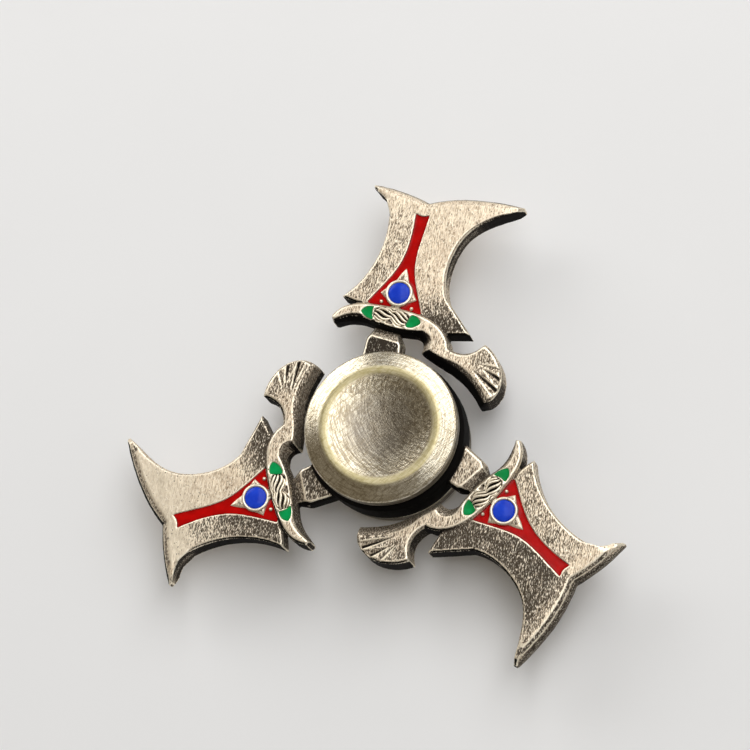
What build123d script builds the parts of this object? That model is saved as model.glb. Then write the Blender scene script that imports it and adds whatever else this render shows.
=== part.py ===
from build123d import *
import os
from math import atan2, degrees, hypot

# Three-bladed hand spinner. Millimetres. The origin is the centre of the bearing, +Z is the
# spin axis and looks out of the enamelled face, and the gem of the first arm lies on +Y.
# Arm points are drawn for that first arm; the other two are turned by 120 degrees.

# ---- driving sizes -------------------------------------------------------------------------
tip_circle_d = 76.4    # circle through the three long blade tips
arm_t = 4.0            # thickness of a blade
relief = 0.45          # how far the crosspiece stands above the blade, on each face
neck_t = 3.6           # thickness of the neck between hub and crosspiece
hub_d = 22.8           # cast hub round the bearing
hub_t = 5.6            # thickness of the hub
hub_edge = 0.5         # chamfer round the hub

cap_d = 22.0           # finger cap
cap_gap = 0.8          # air between the hub face and the cap
cap_wall_t = 2.3       # height of the cap's upright wall
cap_rise = 1.0         # rise of the cap's bevel from its wall to its ridge
cap_foot = 0.4         # chamfer under the wall
cap_brow = 0.15        # chamfer between the wall and the bevel
ridge_d = 16.6         # ridge round the dish of the cap
ridge_flat = 0.35      # width of the ridge
dish_depth = 0.9       # depth of the dish below the ridge
boss_w = 0.7           # the boss on the inner ring reaches this far outside the bore
sleeve_play = 0.03     # radial play of the sleeve in the bore
sleeve_wall = 1.1      # wall of the sleeve round the stud
thread_play = 0.02     # radial play of the stud in the sleeve
stud_short = 0.6       # the stud stops this far above the bearing's lower side
stud_edge = 0.3        # chamfer at its end
stud_room = 0.3        # room under it in the sleeve's hole
sleeve_short = 0.1     # the sleeve stops this far below the bearing's upper side
seat_in = 0.2          # the boss, stud and sleeve run this far into their cap

bearing_od = 12.7      # R188 bearing
bearing_bore = 6.35
bearing_w = 4.763
ball_d = 1.588
ball_count = 10
race_play = 0.015      # radial clearance between a ball and its raceway
pocket_play = 0.06     # clearance between a ball and the cage
cage_play = 0.1        # clearance between the cage and each ring
ring_edge = 0.12       # chamfer of the inner ring
shield_t = 0.15        # sheet of a shield
shield_in = 0.45       # depth of a shield's inner face below the bearing's side
shield_lip = 0.55      # width of the step that the shield rests on
shield_play = 0.12     # air between a shield and the inner ring
snap_w = 0.35          # width of the snap ring
snap_gap = 0.8         # gap between its ends
snap_play = 0.08       # how far it lies below the bearing's side

gem_d = 3.1            # blue enamel dome
gem_brim = 0.15        # height of its brim above the blade
gem_crown = 0.42       # rise of the dome above its brim
bezel_w = 0.47         # wall of the ring round it
bezel_rise = 0.3       # height of that ring above the blade
enamel_depth = 0.45    # depth of the red groove below the blade face
leaf_depth = 0.3       # depth of the green leaves below the crosspiece face
enamel_dip = 0.08      # the red enamel stays this far below the metal round it
leaf_dip = 0.04        # and the green this far
knot_w = 0.5           # width of the knot's strands
knot_half_h = 0.8      # from the knot's middle to the strand at its widest
knot_depth = 0.25      # field round the knot, below the crosspiece face
knot_rise = 0.05       # height of the strands above that face

# ---- sizes that follow from them -----------------------------------------------------------
hub_r = hub_d / 2
arm_h = arm_t / 2                      # blade face
cross_h = arm_h + relief               # crosspiece face
neck_h = neck_t / 2
pitch_r = (bearing_od + bearing_bore) / 4
ball_r = ball_d / 2
cap_under = hub_t / 2 + cap_gap        # underside of the cap
cap_rim = cap_under + cap_wall_t
cap_top = cap_rim + cap_rise
drawn_hub_r, drawn_tip_r = 11.4, 38.2  # radii for which the arm's points are written below
reach = (tip_circle_d / 2 - hub_r) / (drawn_tip_r - drawn_hub_r)
arm_turns = [0, 120, 240]


def at(x, y):
    """An arm point, moved along its radius so that arms run from this hub to this tip circle."""
    r = hypot(x, y)
    k = (hub_r + (r - drawn_hub_r) * reach) / r
    return (x * k, y * k)


# ---- outlines: runs of points, clockwise; each run carries the kind of its edge ---------------
blade_runs = [
    ("cut", [(-5.6, 37.4), (-1.2, 36.4), (2.92, 34.75)]),
    ("cut", [(2.92, 34.75), (5.8, 35.3), (9.8, 35.45), (13.6, 35.1), (17.0, 34.45)]),
    ("tip", [(17.0, 34.45), (17.1, 33.95)]),
    ("rim", [(17.1, 33.95), (13.0, 32.45), (9.3, 30.2), (7.3, 26.9), (6.55, 23.0), (7.05, 20.1)]),
    ("rim", [(7.05, 20.1), (10.85, 14.95)]),
    ("rim", [(10.85, 14.95), (7.0, 14.85)]),
    ("joined", [(7.0, 14.85), (3.0, 16.3)]),
    ("joined", [(3.0, 16.3), (-4.4, 17.6)]),
    ("joined", [(-4.4, 17.6), (-4.6, 19.0)]),
    ("rim", [(-4.6, 19.0), (-6.5, 19.3), (-8.4, 20.05)]),
    ("rim", [(-8.4, 20.05), (-5.3, 23.35), (-3.5, 27.0), (-2.65, 32.2)]),
    ("rim", [(-2.65, 32.2), (-3.25, 34.6), (-5.45, 36.8)]),
    ("hook", [(-5.45, 36.8), (-5.6, 37.4)]),
]
cross_runs = [
    ("rim", [(-9.7, 16.9), (-7.4, 18.7), (-4.0, 19.05), (0.5, 18.4), (4.2, 17.3), (6.7, 15.6),
             (8.0, 12.8)]),
    ("rim", [(8.0, 12.8), (10.4, 12.15), (13.15, 13.65)]),
    ("rim", [(13.15, 13.65), (15.2, 11.4), (16.0, 8.6), (15.1, 5.8), (13.0, 4.5)]),
    ("sole", [(13.0, 4.5), (11.5, 6.7), (9.6, 8.6), (7.6, 9.95)]),
    ("waist", [(7.6, 9.95), (5.6, 11.1), (3.85, 12.2)]),
    ("notch", [(3.85, 12.2), (4.0, 13.5), (2.6, 14.75)]),
    ("bar", [(2.6, 14.75), (-0.5, 15.05), (-3.5, 15.9)]),
    ("horn", [(-3.5, 15.9), (-5.9, 16.55), (-8.2, 16.35)]),
    ("tip", [(-8.2, 16.35), (-9.4, 16.15)]),
    ("tip", [(-9.4, 16.15), (-9.7, 16.9)]),
]
neck_runs = [
    ("joined", [(1.0, 9.6), (-5.1, 9.6)]),
    ("rim", [(-5.1, 9.6), (-4.3, 14.4)]),
    ("corner", [(-4.3, 14.4), (-2.9, 16.2)]),
    ("end", [(-2.9, 16.2), (0.0, 15.5)]),
    ("corner", [(0.0, 15.5), (1.1, 13.5)]),
    ("rim", [(1.1, 13.5), (1.0, 9.6)]),
]
groove_runs = [
    ("rim", [(1.3, 32.85), (2.3, 32.4), (3.35, 32.6)]),
    ("rim", [(3.35, 32.6), (2.35, 28.4), (1.87, 24.4), (2.6, 20.7), (3.5, 17.5)]),
    ("rim", [(3.5, 17.5), (2.5, 17.1)]),
    ("rim", [(2.5, 17.1), (-3.5, 18.6)]),
    ("rim", [(-3.5, 18.6), (-4.6, 19.35)]),
    ("rim", [(-4.6, 19.35), (-2.3, 22.1), (-0.2, 25.3), (0.95, 29.2), (1.3, 32.85)]),
]
leaf_runs = [
    [("rim", [(-5.3, 17.8), (-4.6, 18.45), (-3.45, 18.5)]),
     ("rim", [(-3.45, 18.5), (-3.6, 17.6), (-3.35, 16.6)]),
     ("rim", [(-3.35, 16.6), (-4.55, 17.0), (-5.3, 17.8)])],
    [("rim", [(2.2, 17.4), (3.1, 17.05), (3.6, 16.3)]),
     ("rim", [(3.6, 16.3), (2.7, 15.7), (1.4, 15.65)]),
     ("rim", [(1.4, 15.65), (1.7, 16.6), (2.2, 17.4)])],
]
gem_at = (0, 20.7)
claw_tips = [(0.71, 24.5), (2.55, 19.75), (-2.75, 20.75)]
knot_from, knot_to = (-3.3, 17.55), (1.6, 16.5)
fan_grooves = [((11.8, 10.75), (16.2, 9.85), 0.22), ((13.2, 10.0), (16.5, 8.1), 0.35),
               ((11.7, 9.75), (15.9, 5.9), 0.5)]    # from, to, half width at the rim

# how far each kind of edge has stepped in halfway up its bevel, and at the face
blade_bevel = {"cut": (0.4, 1.2), "tip": (1.0, 3.4), "hook": (0.6, 2.2), "rim": (0, 0.3),
               "joined": (0, 0)}
cross_bevel = {"rim": (0, 0.35), "sole": (0.9, 1.6), "waist": (0.6, 0.95), "notch": (0.8, 1.3),
               "bar": (0.3, 0.6), "horn": (0.5, 0.95), "tip": (0.1, 0.3)}
neck_bevel = {"rim": (0, 0.3), "corner": (0.1, 0.5), "end": (0.45, 1.9), "joined": (0, 0)}
corner_sine = 0.35     # edges that turn by more than this meet in a corner


# ---- helpers ---------------------------------------------------------------------------------
def shifted(runs, depth):
    """The runs moved inward by depth[kind]; corners go where the two moved edges meet."""
    flat = [(at(*p), kind) for kind, pts in runs for p in pts[:-1]]
    n = len(flat)
    moved = []
    for i, (p, kind) in enumerate(flat):
        (ax, ay), before = flat[i - 1]
        bx, by = flat[(i + 1) % n][0]
        l1, l2 = hypot(p[0] - ax, p[1] - ay), hypot(bx - p[0], by - p[1])
        n1 = ((p[1] - ay) / l1, (ax - p[0]) / l1)
        n2 = ((by - p[1]) / l2, (p[0] - bx) / l2)
        d1, d2 = depth[before], depth[kind]
        cross = n1[0] * n2[1] - n1[1] * n2[0]      # sine of the turn
        if abs(cross) > corner_sine:
            vx = (d1 * n2[1] - d2 * n1[1]) / cross
            vy = (d2 * n1[0] - d1 * n2[0]) / cross
        else:
            k = (d1 + d2) / 2 / (1 + n1[0] * n2[0] + n1[1] * n2[1])
            vx, vy = k * (n1[0] + n2[0]), k * (n1[1] + n2[1])
        moved.append((p[0] + vx, p[1] + vy))
    out, i = [], 0
    for kind, pts in runs:
        out.append([moved[(i + j) % n] for j in range(len(pts))])
        i += len(pts) - 1
    return out


def section(runs, z, depth=None):
    """A face at height z inside the runs, moved in by depth[kind]."""
    none = {kind: 0 for kind, pts in runs}
    edges = []
    for pts in shifted(runs, depth or none):
        pts = [Vector(x, y, z) for x, y in pts]
        edges.append(Line(*pts) if len(pts) == 2 else Spline(*pts))
    return Face(Wire(edges))


def bevelled(runs, heights, bevel):
    """A solid, alike above and below z = 0, whose edges step in by their kind's bevel at the
    second and third of the heights."""
    steps = [{kind: (0, *inset)[i] for kind, inset in bevel.items()} for i in range(len(heights))]
    up = [section(runs, z, d) for z, d in zip(heights, steps)]
    down = [section(runs, -z, d) for z, d in reversed(list(zip(heights, steps)))]
    return Solid.make_loft([f.outer_wire() for f in down + up], ruled=True)


def prism(runs, z0, z1):
    return extrude(section(runs, z0), z1 - z0, dir=(0, 0, 1))


def on_arm(shape, turn):
    return Rot(0, 0, turn) * shape


# ---- the casting -----------------------------------------------------------------------------
def blade():
    """Axe blade: slim bevel along the two cutting edges, small one round the rest."""
    return bevelled(blade_runs, (arm_h * 0.4, arm_h * 0.85, arm_h), blade_bevel)


def crosspiece():
    """Horn, knot bar, curl and fan in one run, with a broad flank towards the hub."""
    return bevelled(cross_runs, (arm_h * 0.5, cross_h * 0.86, cross_h), cross_bevel)


def neck():
    """Six-sided block from the hub to the crosspiece, with a sloping outer end."""
    return bevelled(neck_runs, (neck_h * 0.45, neck_h * 0.55, neck_h), neck_bevel)


def bezel(z0):
    """Ring round the gem with three claws that lie in the groove."""
    x, y = at(*gem_at)
    outer = gem_d / 2 + bezel_w
    claw_root = outer * 0.62           # half width of a claw at the ring's centre
    ring = Pos(x, y, z0) * extrude(Circle(outer), arm_h + bezel_rise - z0)
    for tip in claw_tips:
        tx, ty = at(*tip)
        length, a = hypot(tx - x, ty - y), atan2(ty - y, tx - x)
        claw = Polygon((0, claw_root), (length, 0), (0, -claw_root), align=None)
        ring += Pos(x, y, z0) * Rot(0, 0, degrees(a)) * extrude(claw, arm_h - z0)
    return ring - Pos(x, y, z0) * extrude(Circle(gem_d / 2), 2 * arm_h)


def knot_frame():
    (x0, y0), (x1, y1) = at(*knot_from), at(*knot_to)
    return hypot(x1 - x0, y1 - y0), Pos(x0, y0, 0) * Rot(0, 0, degrees(atan2(y1 - y0, x1 - x0)))


def knot_field():
    """Shallow field between the leaves."""
    length, place = knot_frame()
    field = Rectangle(length, 2 * knot_half_h + knot_w)
    return place * extrude(Pos(length / 2, 0, cross_h - knot_depth) * field, 1)


def knot():
    """Two plain strands that cross and cross back, standing in the field."""
    length, place = knot_frame()
    crossings, root = 3, 0.15          # root: how deep the strands are set into the field
    strands = None
    for way in (1, -1):
        for i in range(crossings):
            a = Vector(length * i / crossings, way * knot_half_h * (-1) ** i)
            b = Vector(length * (i + 1) / crossings, -way * knot_half_h * (-1) ** i)
            bar = Rectangle((b - a).length + knot_w * 0.7, knot_w,
                            rotation=degrees(atan2(b.Y - a.Y, b.X - a.X)))
            mid = (a + b) / 2
            bar = extrude(Pos(mid.X, mid.Y, cross_h - knot_depth - root) * bar,
                          root + knot_depth + knot_rise)
            strands = bar if strands is None else strands + bar
    return place * strands


def fan_cutters():
    """Slim wedges that cut the V grooves of the fan in both faces; they widen to the rim."""
    wedges = []
    slope, proud, root = 1.5, 0.1, 0.04    # depth over half width; start above the face; tip size
    for start, end, wide in fan_grooves:
        (x0, y0), (x1, y1) = at(*start), at(*end)
        length, a = hypot(x1 - x0, y1 - y0), degrees(atan2(y1 - y0, x1 - x0))
        tip = Wire.make_polygon([(0, root, proud), (0, -root, proud), (0, 0, root)])
        mouth = Wire.make_polygon(
            [(length, wide, proud), (length, -wide, proud), (length, 0, -slope * wide)])
        wedge = Solid.make_loft([tip, mouth], ruled=True)
        for turn in (0, 180):
            flip = Rot(turn, 0, 0) * Pos(0, 0, cross_h)
            wedges.append(Pos(x0, y0, 0) * Rot(0, 0, a) * flip * wedge)
    return wedges


def arm_metal():
    floor = arm_h - enamel_depth
    body = blade() - prism(groove_runs, floor, arm_h + 1)
    body += neck()
    bar = crosspiece() - knot_field() + knot()
    for runs in leaf_runs:
        bar -= prism(runs, cross_h - leaf_depth, cross_h + 1)
    for wedge in fan_cutters():
        bar -= wedge
    return body + bezel(floor) + bar


def casting():
    body = Cylinder(hub_r, hub_t)
    body = chamfer(body.edges(), hub_edge)
    arm = arm_metal()
    for turn in arm_turns:
        body += on_arm(arm, turn)
    body -= Cylinder(bearing_od / 2, hub_t + 1)
    return body


# ---- enamel ----------------------------------------------------------------------------------
def red_fill():
    """Enamel in the groove, round the bezel and its claws, up to the crosspiece."""
    floor = arm_h - enamel_depth
    fill = prism(groove_runs, floor, arm_h - enamel_dip)
    x, y = at(*gem_at)
    fill -= Pos(x, y, 0) * Cylinder(gem_d / 2 + bezel_w / 2, 4 * arm_h)
    fill = fill - bezel(floor) - prism(cross_runs, -cross_h, cross_h) - crosspiece()
    return max(fill.solids(), key=lambda s: s.volume)


def gem():
    """Round drop of enamel in its ring, domed above it."""
    x, y = at(*gem_at)
    floor, top = arm_h - enamel_depth, arm_h + gem_brim + gem_crown
    r = gem_d / 2
    ball = (r * r + gem_crown * gem_crown) / (2 * gem_crown)
    drop = Pos(0, 0, (floor + top) / 2) * Cylinder(r, top - floor)
    drop = drop & (Pos(0, 0, top - ball) * Sphere(ball))
    return Pos(x, y, 0) * drop.solid()


def leaf_fill(runs):
    return prism(runs, cross_h - leaf_depth, cross_h - leaf_dip).solid()


# ---- finger caps -----------------------------------------------------------------------------
def cap_blank():
    """Turned cap: wall, conical bevel, ridge with a narrow flat, and a shallow dish."""
    r, ridge_r = cap_d / 2, ridge_d / 2
    with BuildPart() as cap:
        with BuildSketch(Plane.XZ):
            with BuildLine():
                Polyline((0, cap_under), (r - cap_foot, cap_under), (r, cap_under + cap_foot),
                         (r, cap_rim - cap_brow), (r - cap_brow, cap_rim),
                         (ridge_r + ridge_flat / 2, cap_top), (0, cap_top), (0, cap_under))
            make_face()
        revolve(axis=Axis.Z)
    dish_r = ridge_r - ridge_flat / 2
    ball = (dish_r * dish_r + dish_depth * dish_depth) / (2 * dish_depth)
    return cap.part - Pos(0, 0, cap_top - dish_depth + ball) * Sphere(ball)


boss_r = bearing_bore / 2 + boss_w
sleeve_r = bearing_bore / 2 - sleeve_play
stud_r = sleeve_r - sleeve_wall
bearing_h = bearing_w / 2


def upright(r, z0, z1):
    """A cylinder on the spin axis from z0 up to z1."""
    return Pos(0, 0, (z0 + z1) / 2) * Cylinder(r, z1 - z0)


def boss():
    """Boss that bears on the inner ring."""
    return upright(boss_r, bearing_h, cap_under + seat_in)


def cap_with_stud():
    """Upper cap: its stud screws into the sleeve. The thread is drawn as its pitch cylinder."""
    stud = upright(stud_r, stud_short - bearing_h, bearing_h + seat_in)
    stud = chamfer(stud.edges().sort_by(Axis.Z)[0], stud_edge)
    return cap_blank() + boss() + stud


def cap_with_sleeve():
    """Lower cap: its sleeve fills the bearing's bore."""
    blank = Rot(180, 0, 0) * (cap_blank() + boss())
    sleeve = upright(sleeve_r, -bearing_h - seat_in, bearing_h - sleeve_short)
    hole = upright(stud_r + thread_play, stud_short - stud_room - bearing_h, bearing_h)
    return blank + sleeve - hole


# ---- bearing ---------------------------------------------------------------------------------
inner_land = pitch_r - ball_r * 0.46
outer_land = pitch_r + ball_r * 0.50
shield_z = bearing_h - shield_in       # inner face of a shield
shield_seat = outer_land + shield_lip


def raceway():
    return Torus(pitch_r, ball_r + race_play)


def turned_ring(r0, r1, width):
    return Cylinder(r1, width) - Cylinder(r0, width + 1)


def inner_ring():
    ring = turned_ring(bearing_bore / 2, inner_land, bearing_w)
    return (chamfer(ring.edges().filter_by(GeomType.CIRCLE), ring_edge) - raceway()).solid()


def outer_ring():
    ring = turned_ring(outer_land, bearing_od / 2, bearing_w)
    for turn in (0, 180):
        ring -= Rot(turn, 0, 0) * upright(shield_seat, shield_z, bearing_h + 1)
    return (ring - raceway()).solid()


def cage():
    """Ring with a round pocket for each ball."""
    ring = turned_ring(inner_land + cage_play, outer_land - cage_play, ball_d * 1.45)
    for i in range(ball_count):
        ring -= Rot(0, 0, 360 * i / ball_count) * Pos(pitch_r, 0, 0) * Rot(0, 90, 0) * Cylinder(
            ball_r + pocket_play, ball_d * 1.3)
    return ring.solid()


def ball(i):
    return (Rot(0, 0, 360 * i / ball_count) * Pos(pitch_r, 0, 0) * Sphere(ball_r)).solid()


def shield(way):
    ring = turned_ring(inner_land + shield_play, shield_seat, shield_t)
    return Pos(0, 0, way * (shield_z + shield_t / 2)) * ring.solid()


def snap_ring(way):
    """Flat spring ring with a gap, sprung into the seat outside the shield."""
    thick = shield_in - shield_t - snap_play
    ring = turned_ring(shield_seat - snap_w, shield_seat, thick)
    ring -= Pos(shield_seat, 0, 0) * Box(4 * snap_w, snap_gap, 2 * thick)
    return Pos(0, 0, way * (shield_z + shield_t + thick / 2)) * ring.solid()


# ---- every node ------------------------------------------------------------------------------
nodes = {
    "rotor_casting": casting(),
    "cap_top": cap_with_stud(),
    "cap_bottom": cap_with_sleeve(),
    "bearing_outer_ring": outer_ring(),
    "bearing_inner_ring": inner_ring(),
    "bearing_cage": cage(),
    "shield_top": shield(1),
    "shield_bottom": shield(-1),
    "snap_ring_top": snap_ring(1),
    "snap_ring_bottom": snap_ring(-1),
}
for i in range(ball_count):
    nodes[f"ball_{i + 1:02d}"] = ball(i)
red, blue, leaves = red_fill(), gem(), [leaf_fill(runs) for runs in leaf_runs]
for number, turn in enumerate(arm_turns, 1):
    nodes[f"groove_enamel_{number}"] = on_arm(red, turn)
    nodes[f"gem_enamel_{number}"] = on_arm(blue, turn)
    for side, leaf in zip("ab", leaves):
        nodes[f"leaf_enamel_{number}{side}"] = on_arm(leaf, turn)

os.makedirs("parts", exist_ok=True)
for name, shape in nodes.items():
    export_step(shape, f"parts/{name}.step")
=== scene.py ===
import math

import bpy
import numpy as np
from mathutils import Matrix, Vector
from mathutils.kdtree import KDTree


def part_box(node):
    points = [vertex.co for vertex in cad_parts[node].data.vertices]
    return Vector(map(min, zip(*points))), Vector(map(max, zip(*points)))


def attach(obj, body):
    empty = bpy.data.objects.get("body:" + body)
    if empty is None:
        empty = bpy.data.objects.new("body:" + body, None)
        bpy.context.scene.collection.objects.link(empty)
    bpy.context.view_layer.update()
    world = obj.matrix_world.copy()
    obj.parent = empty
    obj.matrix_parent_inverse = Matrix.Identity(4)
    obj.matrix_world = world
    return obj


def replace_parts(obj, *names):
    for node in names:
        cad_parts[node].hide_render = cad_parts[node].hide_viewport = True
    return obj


# Looks for the three-bladed hand spinner. Lengths are in millimetres in the CAD frame, and become
# metres where a mesh or an object is made. Arm shapes are drawn for the first arm, whose gem is on
# +Y. A pair of numbers whose name ends in _BAND is where a look fades in: step(*BAND, x) is 0 up
# to its first number and 1 from its second.

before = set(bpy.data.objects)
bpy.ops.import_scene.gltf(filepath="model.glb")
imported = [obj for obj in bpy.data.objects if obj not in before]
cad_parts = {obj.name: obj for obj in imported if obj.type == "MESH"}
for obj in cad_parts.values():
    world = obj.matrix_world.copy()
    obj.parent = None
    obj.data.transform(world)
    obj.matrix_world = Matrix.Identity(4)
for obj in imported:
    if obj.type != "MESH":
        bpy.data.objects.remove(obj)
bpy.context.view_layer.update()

MM = 0.001
ARM_TURNS = [0.0, 120.0, 240.0]
ARM_MIDDLE = 70.0      # direction of the middle of the first arm, with its curl and fan, in degrees
ARM_H = 2.0            # blade face
CROSS_H = 2.45         # crosspiece face
SUNK = 0.4             # how far raised work reaches down into the metal
GEM = np.array([0.0, 20.7])
GEM_R = 1.55
BEZEL_R = 2.03
CAP_R = 11.0
CAP_UNDER = 3.6
CAP_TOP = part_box("cap_top")[1].z / MM
FLOOR_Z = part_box("cap_bottom")[0].z


# ---- numbers on arrays ------------------------------------------------------------------------
HASH_STEPS = np.array([73856093, 19349663, 83492791])
HASH_SEED = 977
HASH_MIX = 1274126177
HASH_BITS = 0xFFFF


def step(a, b, x):
    """0 below a, 1 above b, smooth between; a may be above b."""
    t = np.clip((x - a) / (b - a), 0.0, 1.0)
    return t * t * (3.0 - 2.0 * t)


def noise(p, cell, seed=0):
    """Smooth value noise in -1..1 at the points p, one value per cell of that size."""
    q = p / cell
    i = np.floor(q).astype(np.int64)
    f = q - i
    f = f * f * (3.0 - 2.0 * f)
    total = np.zeros(len(p))
    for corner in range(8):
        d = np.array([corner & 1, (corner >> 1) & 1, corner >> 2])
        h = (i + d) * HASH_STEPS
        h = (h[:, 0] ^ h[:, 1] ^ h[:, 2]) + seed * HASH_SEED
        h = (h ^ (h >> 13)) * HASH_MIX
        h = (h ^ (h >> 16)) & HASH_BITS
        w = np.prod(np.where(d == 1, f, 1.0 - f), axis=1)
        total += w * (h / (HASH_BITS / 2) - 1.0)
    return total


def turned(p, degrees):
    """Points or directions turned about Z."""
    a = math.radians(degrees)
    c, s = math.cos(a), math.sin(a)
    out = np.array(p, float)
    out[..., 0] = c * p[..., 0] - s * p[..., 1]
    out[..., 1] = s * p[..., 0] + c * p[..., 1]
    return out


def arm_of(p):
    """The number of the arm that each point belongs to."""
    a = np.degrees(np.arctan2(p[:, 1], p[:, 0]))
    return np.round((a - ARM_MIDDLE) / 120.0).astype(int) % 3


def to_first_arm(p, arm):
    """Points or directions turned back onto the first arm."""
    q = np.array(p)
    for k in (1, 2):
        q[arm == k] = turned(p[arm == k], -ARM_TURNS[k])
    return q


# ---- meshes -----------------------------------------------------------------------------------
def mesh_from(points, faces, name):
    """A mesh in metres from points in millimetres."""
    mesh = bpy.data.meshes.new(name)
    mesh.from_pydata((np.asarray(points, float) * MM).tolist(), [], [list(f) for f in faces])
    mesh.validate()
    mesh.update()
    return mesh


def smooth(mesh):
    mesh.polygons.foreach_set("use_smooth", [True] * len(mesh.polygons))


def piece(mesh, name, body, material):
    """An object of one material that rides on a body."""
    obj = bpy.data.objects.new(name, mesh)
    bpy.context.scene.collection.objects.link(obj)
    smooth(mesh)
    mesh.materials.clear()
    mesh.materials.append(material)
    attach(obj, body)
    return obj


def circle(n):
    """n angles, once round."""
    return np.arange(n) * 2 * math.pi / n


def round_row(radius, z, a):
    """A row of points at the angles a, all at the height z."""
    return np.stack([radius * np.cos(a), radius * np.sin(a), np.full(len(a), z)], 1)


def grid_faces(rows, cols, wrap=False):
    """Quads over closed rows of points; wrap joins the last row to the first."""
    out, n = [], rows * cols
    for r in range(rows if wrap else rows - 1):
        for c in range(cols):
            a, b = r * cols + c, r * cols + (c + 1) % cols
            out.append((a, b, (b + cols) % n, (a + cols) % n))
    return out


def joined(parts):
    """Several (points, faces) as one."""
    points, faces, n = [], [], 0
    for p, f in parts:
        points.append(p)
        faces += [tuple(i + n for i in face) for face in f]
        n += len(p)
    return np.concatenate(points), faces


def lathe(profile, segments):
    """A closed turned shape from (radius, z) points that start and end on the axis."""
    inner = profile[1:-1]
    rows = [round_row(r, z, circle(segments)) for r, z in inner]
    points = np.concatenate(rows + [[(0, 0, profile[0][1])], [(0, 0, profile[-1][1])]])
    faces = grid_faces(len(inner), segments)
    first, last = len(points) - 2, len(points) - 1
    top = (len(inner) - 1) * segments
    for c in range(segments):
        d = (c + 1) % segments
        faces += [(first, d, c), (last, top + c, top + d)]
    return points, faces


def ring(profile, segments):
    """A closed ring from (radius, z) points that go round its section."""
    rows = [round_row(r, z, circle(segments)) for r, z in profile]
    return np.concatenate(rows), grid_faces(len(rows), segments, wrap=True)


def tube(path, radius, sides):
    """A round bar along the path, closed at both ends."""
    along = np.gradient(path, axis=0)
    along /= np.linalg.norm(along, axis=1)[:, None]
    side = np.cross(along, (0.0, 0.0, 1.0))
    side /= np.linalg.norm(side, axis=1)[:, None]
    up = np.cross(side, along)
    a = circle(sides)
    rows = [p + r * (np.cos(a)[:, None] * s + np.sin(a)[:, None] * u)
            for p, r, s, u in zip(path, radius, side, up)]
    faces = grid_faces(len(rows), sides)
    n = (len(rows) - 1) * sides
    faces += [tuple(range(sides))[::-1], tuple(n + i for i in range(sides))]
    return np.concatenate(rows), faces


def skin(mesh, voxel):
    """A closed skin of even quads over a mesh."""
    obj = bpy.data.objects.new("skin", mesh)
    bpy.context.scene.collection.objects.link(obj)
    mod = obj.modifiers.new("skin", "REMESH")
    mod.mode = "VOXEL"
    mod.voxel_size = voxel * MM
    dg = bpy.context.evaluated_depsgraph_get()
    out = bpy.data.meshes.new_from_object(obj.evaluated_get(dg))
    bpy.data.objects.remove(obj)
    return out


def coords(mesh):
    """The mesh's points in millimetres."""
    co = np.empty(len(mesh.vertices) * 3)
    mesh.vertices.foreach_get("co", co)
    return co.reshape(-1, 3) / MM


def set_coords(mesh, p):
    mesh.vertices.foreach_set("co", (p * MM).ravel())
    mesh.update()


def normals(mesh):
    n = np.empty(len(mesh.vertices) * 3)
    mesh.vertex_normals.foreach_get("vector", n)
    return n.reshape(-1, 3)


def relaxed(mesh, p, weight, rounds):
    """Each point's values drawn towards their mean over its neighbours, some rounds."""
    e = np.empty(len(mesh.edges) * 2, np.int64)
    mesh.edges.foreach_get("vertices", e)
    a, b = e[0::2], e[1::2]
    i, j = np.concatenate([a, b]), np.concatenate([b, a])
    count = np.bincount(i, minlength=len(p))[:, None]
    for _ in range(rounds):
        mean = np.stack([np.bincount(i, v[j], len(p)) for v in p.T], 1) / count
        p = p + weight * (mean - p)
    return p


def bulge(mesh, p, n, voxel):
    """How far the skin bends outwards at each point: above 0 on an edge, below 0 in a hollow."""
    return ((p - relaxed(mesh, p, 1.0, 1)) * n).sum(1) / voxel


def nearest(places, p):
    """How far each point of p lies from the nearest of the places, measured in plan."""
    tree = KDTree(len(places))
    for i, (x, y) in enumerate(places[:, :2]):
        tree.insert((x, y, 0.0), i)
    tree.balance()
    return np.array([tree.find((x, y, 0.0))[2] for x, y in p[:, :2]])


def beside(q, start, end):
    """How far along a line, 0 to 1, and how far to its left each point lies."""
    a, b = np.array(start), np.array(end)
    reach = np.linalg.norm(b - a)
    along = (b - a) / reach
    d = q[:, :2] - a
    return d @ along / reach, d @ np.array([-along[1], along[0]])


def keep(mesh, name, values):
    """A value per vertex that the material reads."""
    layer = mesh.attributes.new(name, "FLOAT", "POINT")
    layer.data.foreach_set("value", np.asarray(values, np.float32))


# ---- materials --------------------------------------------------------------------------------
PIT_STRETCH = 0.55     # pits are longer along the brushing


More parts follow.
